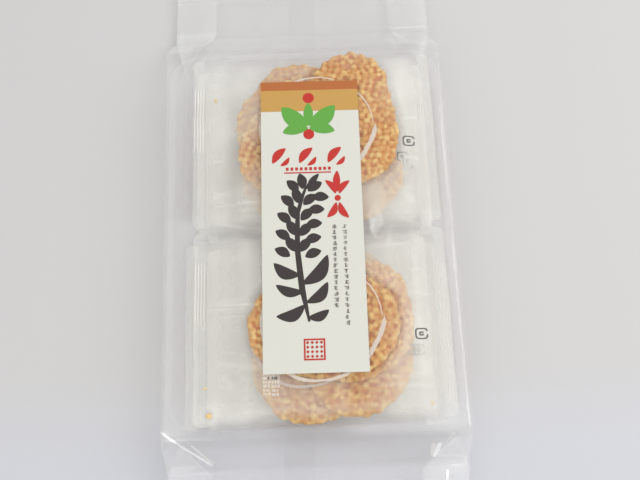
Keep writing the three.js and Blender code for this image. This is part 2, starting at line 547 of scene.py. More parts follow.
# %% Where each cracker lies, packet by packet from the tray up
PACKET_RISE = 11.3
STACK_FOOT = 2.2
LOWER_LIFT = 3.2
UPPER_LIFT = 8.1
FAR_STACK = [
    ({"at": (-8, 43), "size": (64, 68), "turn": 30},
     {"at": (24, 42), "size": (66, 66)}),
    ({"at": (17, 60), "size": (66, 68), "turn": 70},
     {"at": (-5, 68), "size": (76, 80), "tilt": (-2, 0),
      "edge": (1, 1, 1, 1.01, 1.01, 1, 0.87, 0.93, 0.96, 0.98, 1, 1, 1, 1, 1, 1)}),
    ({"at": (-8, 49.5), "size": (62, 65), "tilt": (-4, 0),
      "edge": (1, 1, 1, 1, 1, 0.99, 0.98, 0.98, 1.01, 1.05, 1, 0.98, 1, 1, 1, 1)},
     {"at": (23.5, 66.5), "size": (60.5, 81.5),
      "edge": (0.96, 0.96, 1.07, 1.08, 1.02, 0.98, 0.91, 0.95, 1, 1, 1, 1, 1.01, 1.03, 1.09, 1.06)}),
]
NEAR_STACK = [
    ({"at": (18, -35), "size": (66, 67)},
     {"at": (-2, -70.5), "size": (68, 65.4)}),
    ({"at": (1, -67.3), "size": (66, 71),
      "edge": (1, 1, 1, 1, 1, 1, 1, 1, 0.98, 1.01, 1.12, 1.08, 1.02, 1, 1, 1)},
     {"at": (23, -67), "size": (63.5, 66),
      "edge": (1.01, 1, 1, 1, 1, 1, 1, 1, 0.96, 0.92, 1, 1.06, 1.05, 1.03, 1.02, 1.01)}),
    ({"at": (19, -49), "size": (71, 68.5),
      "edge": (1.03, 1.05, 1.11, 1.07, 1, 1, 1, 1, 1, 1, 1, 1, 1, 1, 1.02, 1.06)},
     {"at": (5.5, -50.5), "size": (81.5, 62),
      "edge": (1.03, 1.03, 1.03, 1.08, 1.06, 1, 0.95, 0.99,
               1.02, 1.05, 1.06, 1.01, 0.99, 1.03, 1.06, 1.05)}),
]


def make_stack(title, stack, first_seed):
    packets = []
    for level, pair in enumerate(stack):
        foot = STACK_FOOT + level * PACKET_RISE
        pieces = []
        for order, (cracker, lift) in enumerate(zip(pair, (LOWER_LIFT, UPPER_LIFT))):
            placed = dict(cracker, at=(*cracker["at"], foot + lift))
            name = f"cracker_{title}_{level + 1}_{'ab'[order]}"
            pieces.append(make_cracker(name, placed, CRUST_VOXEL[level], first_seed + level * 2 + order))
        packets.append((foot, pieces))
    return packets


far_packets = make_stack("far", FAR_STACK, 11)
near_packets = make_stack("near", NEAR_STACK, 31)
crackers = [piece for foot, pieces in far_packets + near_packets for piece in pieces]
print(len(crackers), "crackers,", sum(len(c.data.polygons) for c in crackers) * 2, "triangles")

# %% [markdown]
# ## Clear film
# Film this thin doesn't bend light, so a refracting shader would only cost time. A factor mixes a plain
# transparent surface with a bright sheet that is part mirror and part milk. The factor has three parts: a
# constant haze, a mirror share that grows at grazing angles, and an attribute that says how milky each
# spot is, which is worked out from the gap between the film and what lies under it. The highlights on the
# bag's hard folds are painted as white lines about a millimetre wide, finer than its mesh, so the shader
# measures its distance to each of them.

# %% The finish of bag, packets and tray
def film_material(name, haze, rim, roughness, mirror=0.35, ripple_mm=0.0, blotch=0.0,
                  tint=(0.99, 0.99, 0.99, 1), lines=()):
    tree = Material(name)
    milk = tree.attribute("milk")
    if blotch:
        milk = milk * ((tree.noise(0.045, 3.0) - 0.5) * blotch + 1.0)
    # painted highlights: the white lines along the folds are added to the milk
    milk = milk + painted_fold_highlights(tree, lines) if lines else milk
    facing = tree.add("ShaderNodeLayerWeight", {}, {"Blend": 0.5}, output="Facing")
    factor = (milk + haze + facing * facing * rim).clamp(0.0, 0.96)
    ripples = {"Normal": tree.bump(tree.noise(0.05, 4.0), 0.5, ripple_mm)} if ripple_mm else {}
    sheet = tree.principled(Base_Color=tint, Metallic=mirror, Roughness=roughness, **ripples)
    clear = tree.add("ShaderNodeBsdfTransparent")
    return tree.finish(tree.add("ShaderNodeMixShader", {}, {0: factor, 1: clear, 2: sheet}))


def painted_fold_highlights(tree, lines):
    """The strongest painted highlight that any of the folds gives a spot, each a line from one point to
    another.
    """
    place = tree.add("ShaderNodeSeparateXYZ", {}, {0: tree.place}, output=0)
    x, y, z = (Socket(tree, out) * (1 / MM) for out in place.out.node.outputs)
    total = None
    for (ax, ay), (bx, by), half_width, strength in lines:
        length = math.hypot(bx - ax, by - ay)
        ux, uy = (bx - ax) / length, (by - ay) / length
        along = (x - ax) * ux + (y - ay) * uy
        across = ((x - ax) * uy - (y - ay) * ux).math("ABSOLUTE")
        inside = (along * 0.5).clamp() * ((length - along) * 0.25).clamp()
        line = (1.5 - across * (1 / half_width)).clamp() * inside * strength
        total = line if total is None else total.math("MAXIMUM", line)
    return total * (z - 2.0).clamp()


BAG_FOLD_HIGHLIGHTS = [  # painted highlights along the bag's folds, as white lines: from, to, half width in millimetres, strength
    ((-80.2, -103.5), (-54.5, -122.5), 0.5, 1.3),
    ((-54.0, -122.5), (-53.5, -150), 0.35, 0.05),
    ((-74, 111), (-56, 131), 0.6, 0.16),
    ((80, 107), (57, 138), 0.5, 0.12),
    ((80, -108), (64, -117), 0.6, 0.1),
    ((63.5, -114.5), (60.4, -122.5), 0.9, 2.5),
    ((67.8, -128), (67.3, -134.5), 0.6, 1.5),
    ((-53, 140.5), (-79, 141), 0.5, 0.05),
    ((49, 140), (79, 140.5), 0.5, 0.08),
    ((-53.4, 14.5), (-26.1, 17.6), 0.6, 0.14),
    ((-52.3, 5.7), (-30.2, 1.5), 0.7, 0.12),
    ((45, 2), (41.5, -13), 1.1, 0.12),
    ((35.5, 6), (33.5, -5), 0.8, 0.1),
    ((49, 6), (63, -0.6), 0.5, 0.12),
    ((49, -7), (63, -1.2), 0.5, 0.1),
    ((-79.2, -95), (-79.2, 40), 0.3, 0.08),
    ((-76.2, -90), (-76.2, 90), 0.3, 0.05),
    ((79.6, -98), (79.6, 60), 0.3, 0.08),
    ((76.8, -98), (76.8, 95), 0.3, 0.07),
]
BAG_FINISH = film_material("clear bag film", 0.04, 0.4, 0.07, ripple_mm=1.2, lines=BAG_FOLD_HIGHLIGHTS)
PACKET_FINISH = film_material("clear packet film", 0.02, 0.05, 0.42, mirror=0.12, ripple_mm=0.3, blotch=0.5,
                              tint=(0.985, 0.98, 0.905, 1))
TRAY_FINISH = film_material("clear tray sheet", 0.025, 0.15, 0.15)

# %% [markdown]
# ## The packets
# A packet is a tube of film, pinched flat and crimped at its left and right ends. Its film is drawn tight
# over the crackers, so its shape is the shape of a stretched skin: a grid of heights is relaxed until it is
# as smooth as it can be, while it stays above the crackers and below the packet that lies on top. A cloth
# simulation would find the same shape, but far more slowly, and this gives the gap under the film as well.

# %% Sizes and the grid of a packet
PACKET = {"width": 138.4, "length": 104.0, "fullness": 0.42, "waist": 1.6, "corner": 3.0, "crimp": 8.0,
          "ribs": 5, "rib_height": 0.3, "tooth": 2.0, "bite": 0.9}
TRIM = [2.6, 1.2, 0.0]  # how much shorter the lower packets are at each end, as the tray narrows downward
CRIMP_STEPS, INNER_STEPS, ROWS = 20, 84, 100


class PacketGrid:
    """The spots of a packet's films, in rows from its near edge to its far one."""

    def __init__(self, level, centre):
        self.centre = centre
        self.half = PACKET["width"] / 2 - TRIM[level]
        self.inner = self.half - PACKET["crimp"]
        crimp = np.linspace(self.inner, self.half, CRIMP_STEPS + 1)[1:]
        middle = np.linspace(-self.inner, self.inner, INNER_STEPS + 1)
        self.xs = np.concatenate([-crimp[::-1], middle, crimp])
        self.ys = np.linspace(-PACKET["length"] / 2, PACKET["length"] / 2, ROWS)
        self.x, self.y = np.meshgrid(self.xs, self.ys)
        self.out_x, self.out_y = np.abs(self.x), np.abs(self.y)
        self.into_crimp = np.clip(self.out_x - self.inner, 0, None)
        self.along = self.out_y / self.ys[-1]  # from 0 at the middle to 1 at the long edges
        self.rim = np.ones(self.x.shape, bool)
        self.rim[1:-1, 1:-1] = False


# %% Films that are stretched over and under the crackers
BAG_FACE = 36.1
SEAM_LEVEL = [0.45, 0.45, 0.66]  # the crimps' height in a packet, which the bag lifts in the uppermost ones
FILM_CLEARANCE = 0.3
FILMS_APART = 0.2
AIR = 0.002  # how far the air in a packet lifts its upper film at each step of the stretching
SAG = 0.03  # and how far its lower film sinks towards what it lies on
STRETCH_STEPS = 420
NO_LIMIT = 1e3


def height_map(pieces, grid, side):
    """The highest (side 1) or lowest (side -1) point of the pieces over each spot of the grid."""
    xs, ys = grid.xs + grid.centre[0], grid.ys + grid.centre[1]
    heights = np.full(grid.x.shape, -NO_LIMIT)
    for piece in pieces:
        points = points_of(piece.data)
        columns = np.searchsorted((xs[1:] + xs[:-1]) / 2, points[:, 0])
        rows = np.searchsorted((ys[1:] + ys[:-1]) / 2, points[:, 1])
        np.maximum.at(heights, (rows, columns), side * points[:, 2])
    padded = np.pad(heights, 1, mode="edge")
    around = [padded[r:r + len(ys), c:c + len(xs)] for r in range(3) for c in range(3)]
    return side * np.maximum.reduce(around)


def mean_of_four(values):
    return (values[:-2, 1:-1] + values[2:, 1:-1] + values[1:-1, :-2] + values[1:-1, 2:]) / 4


def stretch(start, low, high, free, pull):
    """Relaxes a film between two limits. free says where it may move, and pull which way it tends."""
    film = np.clip(start, low, high)
    inside = (slice(1, -1), slice(1, -1))
    for _ in range(STRETCH_STEPS):
        moved = np.clip(mean_of_four(film) + pull, low[inside], high[inside])
        film[inside] = np.where(free[inside], moved, film[inside])
    return film


def stretched_films(grid, level, foot, over, under):
    seam = foot + PACKET_RISE * SEAM_LEVEL[level]
    ceiling = BAG_FACE if level == 2 else foot + PACKET_RISE - FILMS_APART
    bulge_x = np.clip(1 - (grid.out_x / grid.inner) ** 2.6, 0, 1)
    bulge_y = np.clip(1 - grid.along ** 4, 0, 1) ** 0.5
    free = bulge_x * bulge_y > 0
    half_height = PACKET_RISE * PACKET["fullness"] * bulge_x ** 0.7 * bulge_y
    lowest = np.where(free, over + FILM_CLEARANCE, -NO_LIMIT)
    highest = np.where(free, under - FILM_CLEARANCE, NO_LIMIT)
    top = stretch(seam + half_height, lowest, np.full_like(over, ceiling), free, AIR)
    base = stretch(seam - half_height, np.full_like(over, foot), highest, free, -SAG)
    return np.maximum(top, base + FILMS_APART), base, seam


# %% [markdown]
# At its two ends a packet is crimped: the films are pressed together in fine upright lines, and the edge
# is cut as a row of small teeth. The crimp also waves a little, as nothing holds it straight. Its lines
# would be lost in the film's soft haze, so the same sine that shapes them also says where each is whiter.

# %% The crimps and the packet's outline in plan
CRIMPED_APART = 0.16
CRIMP_FOOT = 16  # how far from a crimp its waves reach into the packet
CRISP_BLEND = 8


def crimped(grid, films, seam, crisp, rng):
    """The films with their crimps pressed in, and how much each spot is on one of a crimp's white lines."""
    wave = 0.9 * np.sin(grid.y * 0.11 + rng.uniform(0, 6)) + 0.35 * np.sin(grid.y * 0.31 + rng.uniform(0, 6))
    low, high = (np.where(grid.x < 0, left, right) for left, right in zip(*crisp))
    sharp = ease((grid.y - low) / CRISP_BLEND) * ease((high - grid.y) / CRISP_BLEND)
    turns = grid.into_crimp / PACKET["crimp"] * PACKET["ribs"] * 2 * math.pi
    ribs = PACKET["rib_height"] * (0.2 + 0.8 * sharp) * np.sin(turns)
    shift = ease((grid.out_x - grid.inner + CRIMP_FOOT) / CRIMP_FOOT) * wave + ribs
    pressed = [np.where(grid.into_crimp > 0, seam + side * CRIMPED_APART / 2, film) + shift
               for side, film in zip((1, -1), films)]
    return pressed, np.clip(np.cos(turns), 0, 1) ** 6 * sharp


def in_plan(grid, rng):
    """Where each spot lies seen from above: toothed ends, a slight waist, waves and rounded corners."""
    saw = np.abs((grid.y / PACKET["tooth"]) % 1 * 2 - 1)
    teeth = PACKET["bite"] * saw * np.clip(grid.into_crimp - PACKET["crimp"] + 1, 0, 1)
    waist = PACKET["waist"] * np.clip(1 - (grid.x / grid.inner) ** 2, 0, 1)
    waves = 0.5 * np.sin(grid.x * 0.13 + rng.uniform(0, 6)) + 0.4 * np.sin(grid.x * 0.31 + rng.uniform(0, 6))
    corner = PACKET["corner"] * ease((grid.out_x - grid.half + 4) / 4) ** 2
    inward = ease((grid.along - 0.6) / 0.4) * (waist + waves + corner)
    return (grid.centre[0] + grid.x - np.sign(grid.x) * teeth,
            grid.centre[1] + grid.y - np.sign(grid.y) * inward)


# %% How milky each spot of a packet looks
MILK_REACH = 1.8  # the gap in millimetres at which the film looks fully milky
MILK_MOST = [0.1, 0.11, 0.24]  # for the lowest, the middle and the uppermost packets
BASE_MILK = 0.4  # a packet's lower film, as a share of that
CRIMP_MILK = 0.12
CRIMP_LINE = 0.3  # how much whiter a crimp's lines are
EDGE_CLEAR = 6.0  # the film turns steeply down along a packet's long edges, where it looks clear


def wrinkle_milk(grid, rng):
    """Broad upright bands of paler film, and fine streaks beside the crimps and along the long edges."""
    total = 0.035 * np.interp(grid.x, np.linspace(-70, 70, 24), rng.normal(0, 1, 24))
    for _ in range(34):
        side = rng.choice((-1, 1))
        if rng.uniform() < 0.6:
            x, y = side * rng.uniform(38, 60), rng.uniform(-46, 46)
            angle = rng.normal(0, 0.15)
        else:
            x, y = rng.uniform(-55, 55), side * rng.uniform(40, 50)
            angle = rng.normal(0, 0.1)
        along = (grid.x - x) * math.cos(angle) + (grid.y - y) * math.sin(angle)
        across = -(grid.x - x) * math.sin(angle) + (grid.y - y) * math.cos(angle)
        across = across + 0.006 * along ** 2 * rng.normal(0, 1)
        streak = np.exp(-(along / rng.uniform(7, 20)) ** 2 - (across / rng.uniform(0.5, 1.5)) ** 2)
        total += rng.uniform(-0.05, 0.1) * streak
    return total


def milky_gap(distance):
    """From 0 where the film lies on what is under it to 1 where it stands clear, with soft transitions."""
    gap = ease((distance - FILM_CLEARANCE * 1.5) / MILK_REACH)
    for _ in range(3):
        gap[1:-1, 1:-1] = mean_of_four(gap)
    return gap


def placed_milk(x, y, halos, folds):
    """What the spots and the white folds of one particular film add."""
    total = np.zeros_like(x)
    for at_x, at_y, reach, strength in halos:
        total += strength * np.exp(-((x - at_x) ** 2 + (y - at_y) ** 2) / reach ** 2)
    for (ax, ay), (bx, by), half_width, strength in folds:
        length = math.hypot(bx - ax, by - ay)
        along = ((x - ax) * (bx - ax) + (y - ay) * (by - ay)) / length
        across = ((x - ax) * (by - ay) - (y - ay) * (bx - ax)) / length
        inside = ease(along / 3) * ease((length - along) / 3)
        total += strength * inside * np.exp(-(across / half_width) ** 2)
    return total


def packet_milk(grid, level, gaps, lines, rng):
    """The upper and the lower film's milk, from the gap under each and from the crimps' white lines."""
    top_gap, base_gap = gaps
    wrinkles = wrinkle_milk(grid, rng) * (0.15 + 0.85 * top_gap)
    clear = ease((grid.ys[-1] - grid.out_y) / EDGE_CLEAR)
    in_crimp = ease(grid.into_crimp / 1.5)
    upper = mix((MILK_MOST[level] * top_gap + wrinkles) * clear, CRIMP_MILK + CRIMP_LINE * lines, in_crimp)
    return upper, mix(MILK_MOST[level] * BASE_MILK * base_gap * clear, CRIMP_MILK, in_crimp)


# %% One packet: two stretched films that share the points of their rim
def joined_films(grid, plan, films):
    """The points and faces of one closed skin, and which of all the films' spots it uses."""
    rim = grid.rim.ravel()
    number = np.arange(rim.size)
    used = np.concatenate([np.full(rim.size, True), ~rim])
    upper = np.array(grid_faces(*grid.x.shape))
    lower = np.where(rim, number, number + rim.size)[upper[:, ::-1]]
    faces = (np.cumsum(used) - 1)[np.concatenate([upper, lower])]
    points = np.concatenate([np.stack([*plan, film], -1).reshape(-1, 3) for film in films])
    return points[used], faces.tolist(), used


def make_packet(name, centre, level, foot, pieces, below, seed, halos=(), folds=(), crisp=((0, 0), (0, 0))):
    rng = np.random.default_rng(seed)
    grid = PacketGrid(level, centre)
    over, under = height_map(pieces, grid, 1), height_map(pieces, grid, -1)
    beneath = height_map(below, grid, 1)
    *films, seam = stretched_films(grid, level, foot, over, under)
    (top, base), lines = crimped(grid, films, seam, crisp, rng)
    plan = in_plan(grid, rng)
    top, base = np.where(grid.rim, (top + base) / 2, (top, base))
    gaps = [milky_gap(top - np.maximum(over, base)), milky_gap(base - beneath)]
    milk, base_milk = packet_milk(grid, level, gaps, lines, rng)
    milk = np.clip(milk + placed_milk(*plan, halos, folds), 0, 1)
    points, faces, used = joined_films(grid, plan, (top, base))
    milky = np.concatenate([milk.ravel(), base_milk.ravel()])[used]
    piece = make_piece(name, points, faces, PACKET_FINISH, milky)
    return piece, (grid.xs + centre[0], grid.ys + centre[1], top)


# %% [markdown]
# The films above all follow from rules, but the eye also knows this pack by its own marks. Where the bag
# pulls an uppermost packet up or presses it down, its film is a little whiter or clearer, and a few folds
# stayed in it from packing. These are read from the photograph as places on the packet.

# %% All six packets, each a little out of line with the last
CENTRES = {"far": (4.2, 54.6), "near": (4.9, -52.6)}
SHIFTS = {"far": [(1.5, -0.8), (-1.0, 0.6), (0, 0)], "near": [(1.2, -0.6), (-7.6, -0.4), (0, 1.6)]}
HALOS = {  # where an uppermost film stands off more, or clings more: x, y, reach, strength
    "far": [(-4, 101, 14, -0.17), (-36, 94, 17, -0.14), (-43, 58, 8, 0.1), (-30, 46, 13, -0.24),
            (40, 20, 14, 0.1), (57, 74, 17, 0.07), (-42, 22, 14, -0.1), (46, 82, 8, 0.08),
            (52, 26, 11, -0.12), (50, 48, 8, -0.08)],
    "near": [(-55.7, -96.5, 4.5, 0.4), (-55.7, -96.5, 2.2, -0.9), (-62, -98, 6, 0.06), (57, -60, 26, 0.08),
             (48, -22, 10, -0.08), (47, -57, 8, 0.06), (26, -86, 15, -0.19), (-10, -92, 16, -0.18),
             (-38, -88, 10, -0.06)],
}
FOLDS = {  # white folds in an uppermost film: from, to, half width, strength
    "far": [((-57, 20), (-30, 27), 2.2, 0.08), ((-54, 72), (-54, 22), 1.6, 0.05),
            ((44, 30), (60, 14), 2.0, 0.06)],
    "near": [((-57, -39.2), (-28, -40.2), 0.5, 0.1), ((-57, -42), (-28, -42.8), 0.5, 0.09),
             ((-57, -45.6), (-28, -46.2), 0.5, 0.08), ((-50, -76), (-35, -92), 2.2, 0.07),
             ((56, -14), (56, -60), 2.2, 0.05), ((71.5, -18), (71.5, -98), 3.4, 0.08)],
}
CRISP = {  # between which places along the left and the right crimp its lines stand out
    "far": ((-10, 38), (5, 26)), "near": ((-4, 40), (-48, 33)),
}

packet_films = []
for title, stack, first_seed in (("far", far_packets, 100), ("near", near_packets, 110)):
    for level, ((foot, pieces), shift) in enumerate(zip(stack, SHIFTS[title])):
        place = (CENTRES[title][0] + shift[0], CENTRES[title][1] + shift[1])
        marks = (HALOS[title], FOLDS[title], CRISP[title]) if level == 2 else ()
        below = stack[level - 1][1] if level else []
        packet, film = make_packet(f"packet_{title}_{level + 1}", place, level, foot, pieces, below,
                                   first_seed + level, *marks)
        packet_films.append((title, level, place, film))
print(len(packet_films), "packets")

# %% [markdown]
# ## Printing on the packets
# Each packet carries a white ring like one turn of a broad brush, and a small grey mark. A print that is
# only a colour in the film's shader would be lost among its clear parts, so the ink is a piece of its own:
# a thin strip that lies on the film, whose heights are read from the film's own grid. The near stack's
# uppermost packet also has a patch of small white bars, which peeps out from under the label.

# %% Ink that lies on a film
def ink_material(name, colour, cover=1.0):
    tree = Material(name)
    fibre = tree.noise(0.9, 3.0)
    shade = tree.blend(fibre, colour, [value * 0.9 for value in colour[:3]] + [1.0])
    thin = {"Alpha": (fibre * 0.3 + (cover - 0.15)).clamp()} if cover < 1 else {}
    return tree.finish(tree.principled(Base_Color=shade, Roughness=0.55, **thin))


WHITE_INK = ink_material("white film ink", srgb(232, 222, 208), 0.78)
GREY_INK = ink_material("grey film ink", srgb(86, 85, 80))
FAINT_INK = ink_material("faint white film ink", srgb(232, 226, 214), 0.35)
INK_LIFT = 0.07


def film_height(film, x, y):
    xs, ys, heights = film
    column = np.clip(np.interp(x, xs, np.arange(len(xs))), 0, len(xs) - 1.001)
    row = np.clip(np.interp(y, ys, np.arange(len(ys))), 0, len(ys) - 1.001)
    c, r = column.astype(int), row.astype(int)
    u, v = column - c, row - r
    near = mix(heights[r, c], heights[r, c + 1], u)
    far = mix(heights[r + 1, c], heights[r + 1, c + 1], u)
    return mix(near, far, v)


RING_REACH = [  # turn in degrees and distance from the ring's centre, as the brush went
    (62, 31.4), (30, 32.0), (4, 31.9), (3, 33.1), (-10, 31.8), (-25, 30.3), (-50, 29.9), (-90, 30.6),
    (-115, 32.2), (-180, 32.0), (-290, 31.4)]
RING_WIDTH = [  # turn in degrees and the brush's width there
    (62, 0.5), (30, 0.8), (5, 0.5), (4, 0.1), (3, 0.1), (-4, 2.4), (-22, 2.8), (-50, 2.0), (-90, 1.3),
    (-150, 2.4), (-290, 0.6)]
RING_SPAN = (62, -290)


def ring_ink(name, centre, film, seed, steps=260, lanes=7):
    """A brush turn: thin where it starts, broad where the brush was set down again, ragged at its sides."""
    rng = np.random.default_rng(seed)
    degrees = np.linspace(*RING_SPAN, steps)
    angle = np.radians(degrees)
    radius, width = (np.interp(-degrees, [-turn for turn, _ in table], [value for _, value in table])
                     for table in (RING_REACH, RING_WIDTH))
    width = width * (1 + 0.1 * np.sin(angle * 10 + rng.uniform(0, 6)) + rng.normal(0, 0.05, steps))
    across = np.linspace(-0.5, 0.5, lanes)
    reach = radius[:, None] + across[None, :] * width[:, None] + rng.normal(0, 0.06, (steps, 1))
    x = centre[0] + reach * np.cos(angle)[:, None]
    y = centre[1] + reach * np.sin(angle)[:, None]
    z = film_height(film, x, y) + INK_LIFT
    points = np.stack([x, y, z], -1).reshape(-1, 3)
    faces = [face[::-1] for face in grid_faces(steps, lanes)]
    return make_piece(name, points, faces, WHITE_INK)


MARK_RIM, MARK_DOT = (2.7, 3.5), (0.4, 1.3)  # inner and outer reach, in millimetres
MARK_GAP = (-10, 25)  # the break in its right side, in degrees
MARK_SQUASH = 0.86


def mark_ink(name, centre, film):
    """A rounded square outline round a plain dot, with a break in its right side."""
    turns = np.linspace(math.radians(MARK_GAP[1]), math.radians(MARK_GAP[0] + 360), 72)
    square = (np.abs(np.cos(turns)) ** 4 + np.abs(np.sin(turns)) ** 4) ** -0.25
    rings, faces = [], []
    for inner, outer in (MARK_RIM, MARK_DOT):
        faces += grid_faces(2, len(turns), len(rings) * len(turns))
        for reach in (outer, inner):
            rings.append(np.stack([centre[0] + reach * square * np.cos(turns),
                                   centre[1] + reach * square * np.sin(turns) * MARK_SQUASH], -1))
    points = np.concatenate(rings)
    heights = film_height(film, *points.T) + INK_LIFT
    return make_piece(name, np.column_stack([points, heights]), faces, GREY_INK)


RINGS = {"far": (2.4, 5.0), "near": (0.1, 0.4)}  # from the packet's centre
MARKS = {  # from the packet's centre, for the lowest, the middle and the uppermost packet
    "far": [(54.3, -7.6), (52.7, -8.4), (53.7, -4.2)], "near": [(52.9, -11.2), (56.9, -13.0), (52.3, -7.8)],
}
for title, level, place, film in packet_films:
    ring_ink(f"ring_print_{title}_{level + 1}", np.add(place, RINGS[title]), film, 200 + level)
    mark_ink(f"grey_mark_{title}_{level + 1}", np.add(place, MARKS[title][level]), film)
print("rings and marks on", len(packet_films), "packets")

# %% The printed patch that peeps out from under the label: two columns of small white bars
PATCH = {"left": -27.2, "right": -18.2, "low": -89.0, "high": -75.5, "columns": (-26.9, -22.4), "reach": 4.0}
BAR_HEIGHTS, BAR_WIDTHS = (0.8, 1.5), (0.7, 2.2)
BAR_GAP, LINE_GAP = 0.5, 0.7
DARK_LINES = 4  # the uppermost millimetres, where half of the bars are dark


def patch_bars():
    rng = np.random.default_rng(9)
    fields = {"patch_field": [(PATCH["left"], PATCH["right"], PATCH["low"] + 5, PATCH["high"])],
              "patch_bars": [], "patch_dark_bars": []}
    for column in PATCH["columns"]:
        y = PATCH["high"] - 0.8
        while y > PATCH["low"] + 1.5:
            height = rng.uniform(*BAR_HEIGHTS)
            x = column
            while x < column + PATCH["reach"] - 1:
                width = rng.uniform(*BAR_WIDTHS)
                dark = y > PATCH["high"] - DARK_LINES and rng.uniform() < 0.5
                bar = (x, min(x + width, column + PATCH["reach"]), y - height, y)
                fields["patch_dark_bars" if dark else "patch_bars"].append(bar)
                x += width + BAR_GAP
            y -= height + LINE_GAP
    return fields


def patch_ink(film):
    inks = {"patch_field": FAINT_INK, "patch_bars": WHITE_INK, "patch_dark_bars": GREY_INK}
    for layer, (name, bars) in enumerate(patch_bars().items()):
        count = 3 if layer else 24
        sides = [(np.linspace(x0, x1, count), np.linspace(y0, y1, count)) for x0, x1, y0, y1 in bars]
        plan = np.concatenate([np.stack(np.meshgrid(*side), -1).reshape(-1, 2) for side in sides])
        faces = [face for i in range(len(bars)) for face in grid_faces(count, count, i * count ** 2)]
        heights = film_height(film, *plan.T) + INK_LIFT * (1 + layer * 0.6)
        make_piece(name, np.column_stack([plan, heights]), faces, inks[name])


patch_ink(packet_films[-1][3])

# %% [markdown]
# ## The tray
# The tray is one clear sheet, drawn down over a mould by vacuum. It has a flat rim, broader along its
# sides, steep walls with upright ribs, rounded corners and a low bridge between its two stacks. Its points
# run in rings from the rim's edge down the wall and over the floor to the middle line. Spinning or
# extruding an outline would leave the ribs to be added, but here they are a wave along each ring.

# %% The tray's sizes and its sheet
TRAY = {"half_width": 78.5, "near": -105.6, "far": 109.5, "height": 33.6, "corner": 17.0, "lip": 2.2,
        "rib_pitch": 12.5, "rib_depth": 0.45, "sheet": 0.35, "bridge": 11.0, "bridge_y": 1.4}
TRAY_FOOT = 0.7
RIM = {"side": 3.6, "near": 0.8, "far": 2.0}  # the flat rim's width
WALL = {"side": 5.4, "near": 1.6, "far": 2.6}  # how far each wall leans in from rim to floor
TRAY_POINTS = 400


def rounded_outline(half_x, low, high, corner):
    """Points round a rounded rectangle, evenly spaced, and the outward direction at each."""
    straight_x, middle, straight_y = half_x - corner, (low + high) / 2, (high - low) / 2 - corner
    parts = []
    for sign_x, sign_y, start in ((1, 1, 0), (-1, 1, 90), (-1, -1, 180), (1, -1, 270)):
        turn = np.radians(np.linspace(start, start + 90, 24))
        parts.append(np.stack([sign_x * straight_x + corner * np.cos(turn),
                               middle + sign_y * straight_y + corner * np.sin(turn)], -1))
    corners = np.concatenate(parts + [parts[0][:1]])
    run = np.concatenate([[0], np.cumsum(np.hypot(*np.diff(corners, axis=0).T))])
    even = np.linspace(0, run[-1], TRAY_POINTS, endpoint=False)
    points = np.stack([np.interp(even, run, corners[:, i]) for i in range(2)], -1)
    ahead = np.roll(points, -1, 0) - np.roll(points, 1, 0)
    outward = np.stack([ahead[:, 1], -ahead[:, 0]], -1) / np.hypot(*ahead.T)[:, None]
    return points, outward


def tray_ring(rim, down):
    """The outline at a share of the rim's width (0 to 1) and then of the wall's depth (0 to 1)."""
    inset = {side: RIM[side] * rim + WALL[side] * down for side in RIM}
    return rounded_outline(TRAY["half_width"] - inset["side"], TRAY["near"] + inset["near"],
                           TRAY["far"] - inset["far"], TRAY["corner"] - 2.5 * rim - 4 * down)


def tray_points():
    perimeter = 2 * (2 * TRAY["half_width"] + TRAY["far"] - TRAY["near"]) - 8 * TRAY["corner"]
    ribs = round(perimeter / TRAY["rib_pitch"])
    wave = np.clip(np.cos(np.linspace(0, 2 * math.pi * ribs, TRAY_POINTS, endpoint=False)) * 2.5, -1, 1)
    rings = [(0.0, 0.0, TRAY["height"] - TRAY["lip"])]
    rings += [(rim, 0.0, TRAY["height"]) for rim in (0.0, 0.15, 0.5, 0.85)]
    rings += [(1.0, down, mix(TRAY["height"], TRAY_FOOT, down ** 0.92)) for down in np.linspace(0, 1, 12)]
    points = []
    for rim, down, height in rings:
        outline, outward = tray_ring(rim, down)
        rib = wave * TRAY["rib_depth"] * math.sin(math.pi * down) ** 0.35 if 0 < down < 1 else 0 * wave
        plan = outline + outward * rib[:, None]
        points.append(np.column_stack([plan, np.full(len(plan), height)]))
    foot = points[-1][:, :2]
    along = foot[:, 1]
    spine = np.stack([np.zeros(len(foot)), np.clip(along, along.min() + 60, along.max() - 60)], -1)
    for share in (0.98, 0.95, 0.9, *np.linspace(0.82, 0.0, 16)):
        plan = spine + (foot - spine) * share
        bridge = TRAY["bridge"] * np.exp(-((plan[:, 1] - TRAY["bridge_y"]) / 3.0) ** 4)
        points.append(np.column_stack([plan, TRAY_FOOT + bridge * ease((0.99 - share) * 12)]))
    return np.array(points)


def make_tray():
    rings = tray_points()
    faces = grid_faces(*rings.shape[:2], wrap=True)
    piece = make_piece("tray", rings.reshape(-1, 3), faces, TRAY_FINISH)
    mend(piece.data, 0.05)
    sheet = piece.modifiers.new("sheet", "SOLIDIFY")
    sheet.thickness = TRAY["sheet"] * MM
    sheet.offset = 0
    return piece


tray = make_tray()
print("tray:", len(tray.data.polygons), "faces, walls", TRAY["height"], "mm high")

# %% [markdown]
# ## The bag
# The bag is one closed skin, lofted through rings that stand across its length. Over the tray a ring is a
# rounded box. At each end it closes to a flat flap, and the slack of its sides is tucked in as a gusset:
# the crease runs from each corner of the block down to the flap and then along it, 25 mm in from the side.
# Seen from above, the gusset doubles the film, which is why the flaps are whiter along their sides. A cloth
# simulation could crumple the bag, but not to a known size, and the frame's solid has to be matched.

